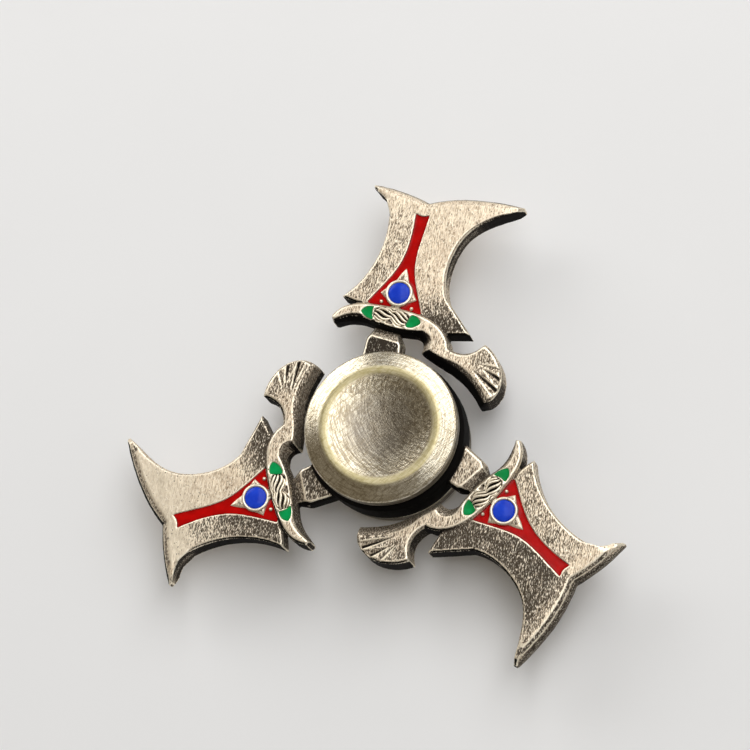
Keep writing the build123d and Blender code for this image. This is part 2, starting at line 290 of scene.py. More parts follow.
class Mat:
    """A node material on one Principled shader. Noise scales are cycles per metre of the part."""

    def __init__(self, name, specular=None):
        self.material = bpy.data.materials.new(name)
        self.material.use_nodes = True
        self.tree = self.material.node_tree
        self.shader = self.tree.nodes["Principled BSDF"]
        self.place = self.put("TexCoord").outputs["Object"]
        if specular is not None:
            self.shader.inputs["Specular IOR Level"].default_value = specular

    def put(self, kind, ins=None, **props):
        node = self.tree.nodes.new("ShaderNode" + kind)
        for key, value in props.items():
            setattr(node, key, value)
        for key, value in (ins or {}).items():
            self.set(node.inputs[key], value)
        return node

    def set(self, socket, value):
        if isinstance(value, bpy.types.NodeSocket):
            self.tree.links.new(value, socket)
        else:
            socket.default_value = value

    def surface(self, **values):
        """Sets the shader's sockets and gives the finished material."""
        for key, value in values.items():
            self.set(self.shader.inputs[key.replace("_", " ")], value)
        return self.material

    def math(self, op, a, b):
        return self.put("Math", {0: a, 1: b}, operation=op).outputs[0]

    def times(self, a, b):
        return self.math("MULTIPLY", a, b)

    def total(self, *terms):
        """The sum of (value, weight) pairs."""
        out = None
        for value, weight in terms:
            part = value if weight == 1 else self.times(value, weight)
            out = part if out is None else self.math("ADD", out, part)
        return out

    def most(self, first, *others):
        """The largest of the values."""
        for value in others:
            first = self.math("MAXIMUM", first, value)
        return first

    def span(self, value, a, b, lo=0.0, hi=1.0):
        """value taken smoothly from a..b to lo..hi."""
        ins = {"Value": value, "From Min": a, "From Max": b, "To Min": lo, "To Max": hi}
        return self.put("MapRange", ins, interpolation_type="SMOOTHSTEP").outputs[0]

    def mix(self, factor, a, b):
        node = self.put("Mix", data_type="RGBA")
        for index, value in ((0, factor), (6, a), (7, b)):
            self.set(node.inputs[index], value)
        return node.outputs[2]

    def painted(self, colour, *coats):
        """The colour under (factor, colour) coats, the last one on top."""
        for factor, coat in coats:
            colour = self.mix(factor, colour, coat)
        return colour

    def stretched(self, sx, sy, sz, turn=0.0):
        """The place on the part, scaled per axis after a turn about Z in degrees."""
        place = self.place
        if turn:
            ins = {"Vector": place, "Rotation": (0.0, 0.0, math.radians(turn))}
            place = self.put("Mapping", ins).outputs[0]
        return self.put("Mapping", {"Vector": place, "Scale": (sx, sy, sz)}).outputs[0]

    def noise(self, vector, detail=2.0, rough=0.5):
        ins = {"Vector": vector, "Scale": 1.0, "Detail": detail, "Roughness": rough}
        return self.put("TexNoise", ins).outputs["Fac"]

    def cloud(self, scale, detail, rough=0.5):
        """Noise that is alike in all directions."""
        return self.noise(self.stretched(scale, scale, scale), detail, rough)

    def pits(self, scale, share, size, turn):
        """1 in scattered pits: cells per millimetre, the share of cells with a pit, its size."""
        place = self.stretched(scale / MM, scale * PIT_STRETCH / MM, scale / MM, turn)
        cell = self.put("TexVoronoi", {"Vector": place, "Scale": 1.0, "Randomness": 1.0})
        pick = self.put("SeparateColor", {"Color": cell.outputs["Color"]}).outputs[0]
        reach = self.span(pick, 1.0 - share, 1.0, 0.0, size)
        return self.math("LESS_THAN", cell.outputs["Distance"], reach)

    def bump(self, height, depth):
        """depth in millimetres."""
        return self.put("Bump", {"Height": height, "Distance": depth * MM}).outputs[0]

    def attribute(self, name):
        return self.put("Attribute", attribute_name=name).outputs["Fac"]


def rgb(r, g, b):
    """A colour written as it looks, 0 to 255."""
    def linear(c):
        c /= 255.0
        return c / 12.92 if c <= 0.04045 else ((c + 0.055) / 1.055) ** 2.4
    return (linear(r), linear(g), linear(b), 1.0)


# noises as (scale along X, Y, Z, turn), pits as (scale, share, size, turn)
BRASS_GRAIN = (8600, 2600, 8600, 6)
BRASS_BRUSH = (7200, 1000, 7200, 6)
BRASS_CROSS = (5200, 900, 5200, -38)
BRASS_BROAD = (420, 300, 420)
BRASS_PITS = [(3.3, 0.60, 0.24, 3), (1.4, 0.20, 0.17, 11)]
CREVICE = 0.9          # reach of the dark finish out of a corner, mm
CAP_SCRATCHES = (4200, 650, 2500, 42)
CAP_HATCHING = (650, 4200, 2500, 30)
CAP_PITS = (1.2, 0.10, 0.16, 5)
CAP_LINES_Z = 2000.0
CAP_TURNING = (0.0, 0.0, 5200.0, 2.6)      # middle x, y in mm, scale outwards, scale around
CAP_STROKES = (7.0, 4.5, 4300.0, 5.0)
ENAMEL_SPECKS = (1.6, 0.05, 0.14, 23)
SHEET_MARKS = (300, 300, 9000)
BALL_MARKS = (4000, 4000, 4000)

# radii on the cap, mm
RIDGE_BANDS = (7.2, 7.9), (9.0, 8.4)
DISH_BAND = (8.0, 7.0)
MIDDLE_GREY_BAND = (7.4, 3.0)

# colours
BRASS_DULL, BRASS_PALE = rgb(230, 212, 187), rgb(244, 228, 202)
BRASS_STREAK = rgb(178, 156, 130)
BRASS_FLECK = rgb(255, 246, 228)
# bare metal, also the painted highlight on edges and raised tops
BRASS_BARE_AND_HIGHLIGHT = rgb(255, 246, 224)
# dark finish, also the colour of painted shade on walls, flanks and the hub
SOOT_AND_SHADE_THIN, SOOT_AND_SHADE_THICK = rgb(62, 54, 46), rgb(17, 15, 13)
SOOT_WORN = rgb(74, 64, 52)

CAP_DULL, CAP_PALE = rgb(222, 212, 190), rgb(236, 228, 208)
CAP_LINE = rgb(150, 134, 104)
CAP_STROKE = rgb(128, 116, 96)
CAP_SCRATCH = rgb(140, 124, 92)
CAP_OLIVE = rgb(180, 168, 112)
CAP_MIDDLE_GREY = rgb(116, 110, 104)
# stain, and the painted shade on the cap's wall and underside
CAP_STAIN_AND_SHADE = rgb(36, 28, 18)

# painted shade where enamel meets the metal
ENAMEL_RIM_SHADE = rgb(40, 8, 6)
ENAMEL_SPECK = rgb(90, 70, 60)

FLOOR_SHADES = (0.86, 0.86, 0.86, 1), (0.89, 0.89, 0.89, 1)


def antique_brass():
    """Cast, brushed and worn metal: pale on faces, bright on edges (worn bare, with a painted
    highlight), dark in pits, and dark on walls as painted shade.
    """
    m = Mat("antique_brass", specular=0.15)
    dark, edge, hollow_and_shade = m.attribute("dark"), m.attribute("edge"), m.attribute("hollow_and_shade")
    grain = m.noise(m.stretched(*BRASS_GRAIN), detail=1.0, rough=0.6)
    brush = m.noise(m.stretched(*BRASS_BRUSH), rough=0.6)
    cross = m.noise(m.stretched(*BRASS_CROSS))
    broad = m.noise(m.stretched(*BRASS_BROAD), detail=4.0, rough=0.6)
    near = m.put("AmbientOcclusion", {"Distance": CREVICE * MM}, samples=8, only_local=True)
    crevice = m.span(near.outputs["AO"], 0.66, 0.25)
    pit = m.most(*(m.pits(*kind) for kind in BRASS_PITS))

    # dark finish and painted shade: left in the low grain, more of it where "dark" is high and less
    # on edges
    field = m.total((grain, 0.52), (brush, 0.38), (cross, 0.10))
    lean = m.total((dark, 0.36), (broad, 0.12), (edge, -0.30))
    stain_and_shade = m.span(m.math("ADD", field, lean), 0.655, 0.80)
    stain_and_shade = m.times(stain_and_shade, m.span(dark, 0.1, 0.9, 0.70, 1.0))
    stain_and_shade = m.most(stain_and_shade, m.times(crevice, 0.95), m.times(hollow_and_shade, 0.9), m.times(pit, 0.7))
    # worn bare metal on edges, also standing as a painted highlight
    bare_and_highlight = m.times(edge, m.span(grain, 0.38, 0.50, 0.25, 1.0))

    tone = m.painted(m.mix(m.span(broad, 0.3, 0.7), BRASS_DULL, BRASS_PALE),
                     (m.span(brush, 0.42, 0.60, 0.0, 0.85), BRASS_STREAK),
                     (m.span(grain, 0.46, 0.34, 0.0, 0.8), BRASS_FLECK),
                     (bare_and_highlight, BRASS_BARE_AND_HIGHLIGHT))
    worn = m.times(m.span(brush, 0.46, 0.62, 0.0, 0.5), m.span(dark, 1.15, 0.90))
    soot_and_shade = m.painted(m.mix(m.span(dark, 0.62, 1.05), SOOT_AND_SHADE_THIN, SOOT_AND_SHADE_THICK), (worn, SOOT_WORN))
    rough = m.total((m.span(brush, 0.2, 0.8, 0.46, 0.56), 1), (stain_and_shade, 0.35), (bare_and_highlight, -0.14))
    height = m.total((brush, 0.4), (cross, 0.2), (stain_and_shade, -0.8))
    return m.surface(Base_Color=m.mix(stain_and_shade, tone, soot_and_shade), Roughness=rough,
                     Metallic=m.span(stain_and_shade, 0.3, 0.9, 1.0, 0.4), Normal=m.bump(height, 0.03))


def cap_brass():
    """Turned and hand-brushed cap: yellower, with rings, curved strokes and straight scratches."""
    m = Mat("cap_brass", specular=0.25)
    dark = m.attribute("dark")
    height_up = m.put("SeparateXYZ", {"Vector": m.place}).outputs[2]

    def circles(x, y, scale, around):
        """Fine lines that run round the point x, y (mm), and the distance from it."""
        off = m.put("VectorMath", {0: m.place, 1: (x * MM, y * MM, 0.0)}, operation="SUBTRACT")
        apart = m.put("SeparateXYZ", {"Vector": off.outputs[0]})
        flat = m.put("CombineXYZ", {"X": apart.outputs[0], "Y": apart.outputs[1]}).outputs[0]
        radius = m.put("VectorMath", {0: flat}, operation="LENGTH").outputs["Value"]
        turn = m.math("ARCTAN2", apart.outputs[1], apart.outputs[0])
        ins = {"X": m.times(radius, scale), "Y": m.times(turn, around),
               "Z": m.times(height_up, CAP_LINES_Z)}
        return m.noise(m.put("CombineXYZ", ins).outputs[0], detail=3.0, rough=0.65), radius

    def within(band, most=1.0):
        """Fades in over a band of radii about the cap's axis."""
        return m.span(radius, band[0] * MM, band[1] * MM, 0.0, most)

    lines, radius = circles(*CAP_TURNING)
    strokes, _ = circles(*CAP_STROKES)
    scratch = m.noise(m.stretched(*CAP_SCRATCHES), detail=3.0, rough=0.7)
    hatch = m.noise(m.stretched(*CAP_HATCHING), detail=3.0, rough=0.7)
    broad = m.cloud(260, detail=4.0, rough=0.6)
    grain = m.cloud(3600, detail=3.0, rough=0.7)
    pit = m.pits(*CAP_PITS)
    ridge = m.times(*(within(band) for band in RIDGE_BANDS))
    in_dish, middle = within(DISH_BAND), within(MIDDLE_GREY_BAND, 0.70)

    # stain and painted shade: darker where "dark" is high, in the grain and lines, and in pits
    stain_and_shade = m.span(m.total((dark, 1), (grain, 0.35), (lines, 0.35)), 0.42, 1.35)
    stain_and_shade = m.most(stain_and_shade, m.times(pit, 0.6))
    colour = m.painted(m.mix(m.span(broad, 0.3, 0.7), CAP_DULL, CAP_PALE),
                       (m.span(lines, 0.44, 0.62, 0.0, 0.55), CAP_LINE),
                       (m.times(in_dish, m.span(strokes, 0.44, 0.58, 0.0, 0.75)), CAP_STROKE),
                       (m.span(scratch, 0.50, 0.62, 0.0, 0.6), CAP_SCRATCH),
                       (m.span(hatch, 0.52, 0.64, 0.0, 0.5), CAP_SCRATCH),
                       (m.times(ridge, 0.6), CAP_OLIVE),
                       (m.times(middle, m.span(broad, 0.25, 0.75, 0.7, 1.0)), CAP_MIDDLE_GREY),
                       (stain_and_shade, CAP_STAIN_AND_SHADE))
    height = m.total((lines, 0.5), (scratch, 0.6), (hatch, 0.5),
                     (m.times(strokes, in_dish), 0.6), (grain, 0.3), (pit, -1))
    rough = m.total((m.span(grain, 0.3, 0.7, 0.20, 0.28), 1), (stain_and_shade, 0.35), (ridge, 0.2))
    return m.surface(Base_Color=colour, Metallic=m.span(stain_and_shade, 0.3, 1.0, 1.0, 0.2),
                     Roughness=rough, Normal=m.bump(height, 0.030))


def enamel(name, deep, light, shade):
    """Hard glossy enamel: cloudy, specked, unevenly fired, with painted shade where it meets the
    metal.
    """
    m = Mat(name, specular=0.15)
    cloud, fine = m.cloud(700, detail=3.0), m.cloud(5000, detail=2.0)
    colour = m.painted(m.mix(m.span(cloud, 0.3, 0.7), deep, light),
                       (m.times(m.attribute("rim"), shade), ENAMEL_RIM_SHADE),
                       (m.times(m.pits(*ENAMEL_SPECKS), 0.35), ENAMEL_SPECK))
    height = m.total((cloud, 1), (fine, 0.12))
    return m.surface(Base_Color=colour, Roughness=m.span(fine, 0.3, 0.7, 0.12, 0.20),
                     Normal=m.bump(height, 0.012))


def steel(name, bright, dull, rough, along=SHEET_MARKS):
    """Bare metal with fine marks, drawn out by the scales along."""
    m = Mat(name)
    fine = m.noise(m.stretched(*along), detail=3.0)
    broad = m.cloud(500, detail=2.0)
    colour = m.mix(m.times(fine, m.span(broad, 0.2, 0.8)), bright, dull)
    return m.surface(Base_Color=colour, Metallic=1.0, Normal=m.bump(fine, 0.006),
                     Roughness=m.span(fine, 0.2, 0.8, rough, rough + 0.12))


def floor_paint():
    m = Mat("pale_floor", specular=0.2)
    return m.surface(Base_Color=m.mix(m.cloud(30, detail=2.0), *FLOOR_SHADES), Roughness=0.6)


BRASS = antique_brass()
CAP = cap_brass()
RED = enamel("red_enamel", rgb(178, 2, 1), rgb(200, 4, 3), 0.40)
BLUE = enamel("blue_enamel", rgb(26, 60, 196), rgb(36, 74, 214), 0.0)
GREEN = enamel("green_enamel", rgb(0, 140, 66), rgb(8, 164, 88), 0.2)


# ---- the casting ------------------------------------------------------------------------------
KNOT_FROM, KNOT_TO = np.array([-3.3, 17.55]), np.array([1.6, 16.5])
KNOT_LENGTH = float(np.linalg.norm(KNOT_TO - KNOT_FROM))
KNOT_ALONG = (KNOT_TO - KNOT_FROM) / KNOT_LENGTH
KNOT_ACROSS = np.array([-KNOT_ALONG[1], KNOT_ALONG[0]])
KNOT_BED = 0.36        # depth of the bed that the knot lies in
KNOT_ROOM = 0.16       # space beside it

# V grooves of the CAD fan: from, to, half width at the rim
FAN_GROOVES = [((11.8, 10.75), (16.2, 9.85), 0.22), ((13.2, 10.0), (16.5, 8.1), 0.35),
               ((11.7, 9.75), (15.9, 5.9), 0.5)]
# the cast feathers that fill them: each steps down at a line, from one point to another, and
# slopes back up over some width; width and depth are those at the rim
FEATHERS = [((11.9, 10.8), (16.0, 9.95), 0.7, 0.10), ((13.1, 10.05), (16.0, 8.5), 1.35, 0.36),
            ((11.6, 9.85), (15.8, 6.7), 1.25, 0.40)]
FAN_X, FAN_Y = 10.5, 14.0          # the fan lies right of the one and inwards of the other
FAN_FLOOR = 1.3                    # no part of a fan's groove lies lower
FAN_WALL_X, FAN_WALL_Y = 9.0, 14.5                     # and its walls likewise
FAN_RIM_BAND = (0.10, 0.38)        # distance from the fan's rim at which the feathers are cut
FEATHER_BAND = (1.9, 2.2)          # height: they are cut on the face alone

# by arm: dark finish left of the groove, right of it, on the crosspiece, on the cutting bevel
# and on the neck
WEAR = [(0.42, 0.20, 0.27, 0.05, 0.78), (0.68, 0.20, 0.30, 0.55, 0.62),
        (0.44, 0.66, 0.34, 0.68, 0.35)]
# by arm: how brightly the outer part of the blade is rubbed, and the line where its bevel starts
POLISH = [(0.1, 0.2), (0.5, 0.2), (0.0, 0.9)]

SKIN_VOXEL = 0.14
WAVES = [(0.030, 2.6, 1), (0.018, 0.9, 2), (0.012, 0.35, 3)]       # height, cell, seed
WAVE_SINK = 0.012      # keeps the waves inside the CAD shape
GROOVE_LINE = ([17, 21, 24, 28, 33], [0.3, 0.2, 1.0, 1.7, 2.3])    # its middle: along, across
HUB_SHADE = 1.3                     # the hub, just under the caps, is painted the darkest: painted shade
HUB_R = 12.0
HUB_BAND = (HUB_R, 11.4)           # radius
BLADE_BAND = (14.0, 15.0)          # along the arm: crosspiece to blade
LEFT_BAND, RIGHT_BAND = (38.0, 30.0), (39.0, 31.0)     # along: the blade's tips are clean
ROOT_BAND, ROOT_DARK = (25.0, 16.0), 0.70              # along: darker towards the crosspiece
POLISH_BAND = (21.0, 36.0)         # along: rubbed brighter outwards
BELOW_CROSS_BAND = (2.25, 2.1)     # height: crosspiece to blade
CROSS_BAND = (2.15, 2.3)           # height: blade to crosspiece
BELOW_FACE_BAND = (1.98, 1.92)     # height: blade to its bevel
BEVEL_FOOT_BAND = (1.5, 1.6)       # height: wall to bevel
FACE_RIM_BAND = (1.9, 1.98)        # height: bevel to blade
LEFT_TIP_BAND, RIGHT_TIP_BAND = (-4.2, -2.6), (16.6, 15.2)     # across: clean tips of the bevel
FAN_BAND, FAN_DARK = (10.5, 13.0), 0.22                # across: the fan is darker than the bar
NECK_H, NECK_END = 1.82, 17.0      # the neck's face: highest, and its end along the arm
SLANT_R, SLANT_END, SLANT_DARK = 12.5, 15.5, 0.52      # flanks of the crosspiece and the neck
SHADED_FLANK_WAY, FLANK_SHADE = np.array([-0.45, -0.89, 0.0]), 1.7     # painted shade: flanks that face this way, away from the lights, are dark
LIT_WAY, LIT_BAND = np.array([0.8, 0.6, 0.0]), (0.6, 0.95)     # painted light: walls that look this way, towards the key light, are lighter
# walls get the dark finish with painted shade over it
WALL_SHADE, WALL_WEAR = 0.84, 0.16  # the middle of the blade's wall is worn lighter:
WALL_MIDDLE_BAND = (0.9, 0.3)      # height
WALL_ALONG_BAND = (18.0, 22.0)
# bands of the upright part of the surface's direction, which is 1 where it is level
LEVEL = 0.97
BEVEL_TILT_BAND = (0.7, 0.8)
WALL_BAND = (0.55, 0.35)
FLANK_BAND = (0.98, 0.92)
SLANT_BANDS = ((LEVEL, 0.90), (0.3, 0.5))
# bright edges: bands of how far the skin bends, and the line where the bevel starts
EDGE_BAND, HOLLOW_BAND = (0.02, 0.075), (0.03, 0.12)
LINE_BANDS = (1.89, 1.92), (1.985, 1.96)               # height, from below and from above
LINE_TILT_BAND, LINE_ALONG_BAND = (0.88, 0.93), (22.0, 24.0)
HUB_EDGE = 0.3                     # edges on the hub are this bright
SOLE_X, SOLE_WAY, SOLE_BAND = 5.0, np.array([-0.6, -0.8, 0.0]), (0.1, 0.4)     # and on the curl's
SOLE_EDGE = 0.7                    # inner side they lose this much
UNDERSIDE_Z, UNDERSIDE_HIGHLIGHT_GAIN = -1.2, 2.5                # the lower face's slighter edges, made brighter as a painted highlight


def knot_frame(q):
    """How far along and across the knot each point lies."""
    d = q[:, :2] - KNOT_FROM
    return d @ KNOT_ALONG, d @ KNOT_ACROSS


def knot_run(t):
    """Middle and half height of the knot's two lobes at t, 0 to 1 along it."""
    t = np.clip(t, 0, 1)
    return (0.10 + 0.28 * np.sin(math.pi * t) ** 4,
            0.45 + 0.50 * np.abs(np.sin(2 * math.pi * t)) ** 0.8)


def in_knot_bed(q):
    """Which points of the crosspiece's face lie in the knot's bed."""
    along, across = knot_frame(q)
    lift, half = knot_run(along / KNOT_LENGTH)
    return ((np.abs(across - lift) < half + KNOT_ROOM) & (q[:, 2] > CROSS_H - 0.5)
            & (along > -0.1) & (along < KNOT_LENGTH + 0.1))


def fan_depth(q):
    """How far the feathers lie below the fan's face, and where their feet and crests are."""
    deep, foot, crest = np.zeros(len(q)), np.zeros(len(q)), np.zeros(len(q))
    for start, end, wide, most in FEATHERS:
        t, left = beside(q, start, end)
        t = np.clip(t, 0, 1)
        slope = step(0.10, -0.08, left) * np.clip(1 + left / (wide * t + 0.05), 0, 1)
        deep = np.maximum(deep, most * t ** 0.6 * step(0, 0.15, t) * slope)
        strip = step(0.08, -0.02, left) * step(-0.56 * t - 0.02, -0.32 * t, left)
        foot = np.maximum(foot, strip * step(0.05, 0.25, t) * most / 0.4)
        strip = step(0.0, 0.12, left) * step(0.55 * t + 0.05, 0.25 * t, left)
        crest = np.maximum(crest, strip * step(0.1, 0.3, t))
    return deep, foot, crest


def feathered(p, q, n):
    """The points with the fan's V grooves filled and its feathers cut, their feet and crests."""
    x, y, z = q.T
    fan = np.flatnonzero((x > FAN_X) & (y < FAN_Y) & (z > FAN_FLOOR) & (n[:, 2] > 0.2))
    walls = (x > FAN_WALL_X) & (y < FAN_WALL_Y) & (z > 0) & (z < ARM_H) & (np.abs(n[:, 2]) < 0.3)
    spot = q[fan]
    rim = nearest(q[walls], spot)
    groove = np.zeros(len(fan), bool)
    for start, end, wide in FAN_GROOVES:
        t, left = beside(spot, start, end)
        groove |= (np.abs(left) < wide * np.clip(t, 0, 1.2) + 0.16) & (t > -0.02)
    face = CROSS_H - 0.03 - 0.30 * step(0.35, 0.0, rim)
    z = np.where(groove & (spot[:, 2] < face), face, spot[:, 2])
    deep, foot, crest = fan_depth(spot)
    closed = step(*FAN_RIM_BAND, rim)
    p = p.copy()
    p[fan, 2] = z - deep * closed * step(*FEATHER_BAND, z)
    feet, crests = np.zeros(len(p)), np.zeros(len(p))
    feet[fan], crests[fan] = foot * closed, crest * closed
    return p, feet, crests


def patina_and_shade(p, q, arm, n):
    """How dark each point is painted, 0 none, 1 all, the most on the hub: the dark finish, with
    painted shade on walls, on flanks that face away from the light and on the hub.
    """
    across, along = q[:, 0], q[:, 1]
    z, up = np.abs(p[:, 2]), np.abs(n[:, 2])
    r = np.hypot(p[:, 0], p[:, 1])
    left_side, right_side, bar, cut, block = np.array(WEAR)[arm].T
    outer = step(*BLADE_BAND, along)

    left = step(0.4, -0.4, across - np.interp(along, *GROOVE_LINE))
    sides = (left_side * left * step(*LEFT_BAND, along)
             + right_side * (1 - left) * step(*RIGHT_BAND, along))
    root = ROOT_DARK * step(*ROOT_BAND, along)
    face = np.maximum(sides, root) * step(*BELOW_CROSS_BAND, z) * outer
    bevel = (step(*BELOW_FACE_BAND, z) * step(*BEVEL_FOOT_BAND, z) * step(*BEVEL_TILT_BAND, up)
             * step(*LEFT_TIP_BAND, across) * step(*RIGHT_TIP_BAND, across) * outer * cut)
    raised = step(*CROSS_BAND, z) * (bar + FAN_DARK * step(*FAN_BAND, across))
    # painted shade on flanks that face away from the key light
    flank_shade = np.clip(n @ SHADED_FLANK_WAY, 0, 1) * step(*FLANK_BAND, up) * FLANK_SHADE
    neck = (z < NECK_H) & (r > CAP_R) & (up > LEVEL) & (along < NECK_END)
    high, low = SLANT_BANDS
    slant = step(*high, up) * step(*low, up) * (r > SLANT_R) * (along < SLANT_END) * SLANT_DARK
    # walls: dark finish with painted shade, less of it where they face the key light (painted light)
    lit = step(*LIT_BAND, n @ LIT_WAY)
    worn = WALL_SHADE - WALL_WEAR * step(*WALL_MIDDLE_BAND, z) * step(*WALL_ALONG_BAND, along)
    wall_shade = step(*WALL_BAND, up) * (1 - 0.5 * lit) * worn
    # painted shade on the hub under the caps
    hub = HUB_SHADE * step(*HUB_BAND, r)
    return np.maximum.reduce([wall_shade, face, bevel, raised, flank_shade, slant, neck * block, hub])


def cast_metal():
    """The casting's skin, slightly wavy, with its knot beds, feathers and values for the brass."""
    mesh = skin(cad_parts["rotor_casting"].data.copy(), SKIN_VOXEL)
    p = relaxed(mesh, coords(mesh), 0.5, 1)
    arm = arm_of(p)
    q = to_first_arm(p, arm)
    bed = in_knot_bed(q)
    p[:, 2] = np.where(bed, np.minimum(p[:, 2], CROSS_H - KNOT_BED), p[:, 2])
    set_coords(mesh, p)
    p, feet, crests = feathered(p, q, normals(mesh))
    set_coords(mesh, p)
    n = normals(mesh)
    # the lower face's edges count more: a painted highlight on them
    out = bulge(mesh, p, n, SKIN_VOXEL) * np.where(p[:, 2] < UNDERSIDE_Z, UNDERSIDE_HIGHLIGHT_GAIN, 1.0)
    wave = sum(height * noise(p, cell, seed) for height, cell, seed in WAVES)
    set_coords(mesh, p + n * (wave - WAVE_SINK)[:, None])

    # painted shade at the feathers' feet, where each steps down; their crests are left lighter
    dark = np.clip(np.maximum(patina_and_shade(p, q, arm, n), bed), 0, HUB_SHADE)
    keep(mesh, "dark", np.clip(np.maximum(dark - 0.3 * crests, 0.95 * feet), 0, HUB_SHADE))
    keep(mesh, "hollow_and_shade", np.maximum(step(*HOLLOW_BAND, -out), feet))

    sole = (q[:, 0] > SOLE_X) * step(*SOLE_BAND, to_first_arm(n, arm) @ SOLE_WAY)
    bright = step(*EDGE_BAND, out) * ~bed * (1 - SOLE_EDGE * sole)
    bright = bright * np.where(np.hypot(p[:, 0], p[:, 1]) < HUB_R, HUB_EDGE, 1.0)
    rubbed, line = np.array(POLISH)[arm].T
    rubbed = rubbed * step(*POLISH_BAND, q[:, 1]) * step(*FACE_RIM_BAND, q[:, 2])
    below, above = LINE_BANDS
    line = line * (step(*below, p[:, 2]) * step(*above, p[:, 2])
                   * step(*LINE_TILT_BAND, n[:, 2]) * step(*LINE_ALONG_BAND, q[:, 1]))
    # bright edges: worn bare, with a painted highlight on the feathers' crests and the lower face's
    # edges
    keep(mesh, "edge", np.maximum.reduce([bright, 0.7 * crests, rubbed, line]))
    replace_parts(piece(mesh, "cast_metal", "rotor", BRASS), "rotor_casting")


# ---- raised work on the arms ------------------------------------------------------------------
# the claws round the ring: tip, half width in degrees
CLAWS = [((0.71, 24.5), 34.0), ((2.62, 19.7), 30.0), ((-2.8, 20.75), 30.0)]
CLAW_INNER, CLAW_ROOT = 1.75, 2.05      # radii of the claws' plate
# across the plate from inside to outside: share of its width, height over the blade
CLAW_SECTION = [(0.0, -SUNK), (0.0, 0.16), (0.35, 0.15), (0.7, 0.10), (0.92, 0.02), (1.0, -0.08),
                (1.0, -SUNK)]
BEADS = [(-2.5, 19.42), (2.0, 18.45)]
BEAD_R = 0.27
STRANDS = 7
STRAND_SINK, STRAND_RISE, STRAND_DIP = 0.32, 0.20, 0.15    # under the face, up and down, at the ends
BEZEL_SIDES, CLAW_SIDES, BEAD_SIDES, STRAND_SIDES = 96, 240, 20, 8


def bezel_shape():
    """Raised ring round the gem."""
    middle, half = (BEZEL_R + GEM_R) / 2, (BEZEL_R - GEM_R) / 2
    arch = [(middle + half * math.cos(t), ARM_H + 0.08 + 0.27 * math.sin(t))
            for t in np.linspace(0, math.pi, 9)]
    points, faces = ring([(BEZEL_R, ARM_H - SUNK)] + arch + [(GEM_R, ARM_H - SUNK)], BEZEL_SIDES)
    points[:, :2] += GEM
    return points, faces


def claws_shape():
    """Plate with three claws round the ring, ridged along each claw."""
    a = circle(CLAW_SIDES)
    out = np.full(len(a), CLAW_ROOT)
    for tip, half in CLAWS:
        d = np.array(tip) - GEM
        reach, way = np.linalg.norm(d), math.atan2(d[1], d[0])
        off = np.degrees(np.abs((a - way + math.pi) % (2 * math.pi) - math.pi))
        t = np.clip(1.0 - off / half, 0.0, 1.0)
        out = np.maximum(out, CLAW_ROOT + (reach - CLAW_ROOT) * t ** 1.9)
    rows = [round_row(CLAW_INNER + (out - CLAW_INNER) * share, ARM_H + z, a)
            for share, z in CLAW_SECTION]
    points = np.concatenate(rows)
    points[:, :2] += GEM
    return points, [f[::-1] for f in grid_faces(len(rows), len(a), wrap=True)]


def bead(x, y):
    a = np.linspace(0, math.pi, 11)
    points, faces = lathe([(BEAD_R * math.sin(t), -BEAD_R * math.cos(t)) for t in a], BEAD_SIDES)
    return points + np.array([x, y, ARM_H]), faces


def knot_shape():
    """Plain flat rope, drawn in at its middle and its ends."""
    t = np.linspace(-0.01, 1.01, 60)
    lift, half = knot_run(t)
    parts = []
    for k in range(STRANDS):
        a = 2 * math.pi * (k / STRANDS - 0.5 * t)
        u, v = t * KNOT_LENGTH, lift + half * np.sin(a)
        xy = KNOT_FROM + np.outer(u, KNOT_ALONG) + np.outer(v, KNOT_ACROSS)
        z = CROSS_H - STRAND_SINK + STRAND_RISE * np.cos(a) - STRAND_DIP * np.abs(2 * t - 1) ** 8
        parts.append(tube(np.column_stack([xy, z]), 0.07 + 0.155 * half, STRAND_SIDES))
    return joined(parts)


def arm_details(number, turn):
    """The fine raised work of one arm."""
    sets = {
        "bezel": bezel_shape(),
        "thorns": claws_shape(),
        "beads": joined([bead(x, y) for x, y in BEADS]),
        "knot": knot_shape(),
    }
    for name, (points, faces) in sets.items():
        mesh = mesh_from(turned(points, turn), faces, name)
        z, level = points[:, 2], np.abs(normals(mesh)[:, 2])
        # painted shade on the steep sides and the knot's lower strands; the level tops take the
        # bright edge colour as a painted highlight
        deep = step(CROSS_H - 0.10, CROSS_H - 0.24, z) * (name == "knot")
        inner = step(ARM_H + 0.06, ARM_H + 0.12, z) * (name == "thorns")
        keep(mesh, "dark", np.maximum.reduce([step(0.6, 0.2, level) * 0.5, deep, inner * 0.5]))
        keep(mesh, "edge", step(0.5, 0.8, level) * (1 - deep) * (1 - inner))
        keep(mesh, "hollow_and_shade", np.zeros(len(points)))
        piece(mesh, f"{name}_{number}", "rotor", BRASS)


cast_metal()
for number, turn in enumerate(ARM_TURNS, 1):
    arm_details(number, turn)


# ---- enamel -----------------------------------------------------------------------------------
ENAMEL_SINK = 0.04     # how far the enamel's middle lies under its brim
BANK_REACH = 0.06      # how quickly its climb dies away from a wall, and from the ring
RING_REACH = 0.10
RIM_REACH = 0.28       # how quickly the painted shade at its rim does
RING_CLIMB = 1.3       # its climb at the ring, against that at a wall
GROOVE_VOXEL, GROOVE_CLIMB = 0.07, 0.07
LEAF_VOXEL, LEAF_CLIMB = 0.05, 0.04
GEM_BRIM, GEM_CROWN = 0.13, 0.36       # the dome's edge over the blade, and its top over that
GEM_SIDES = 64


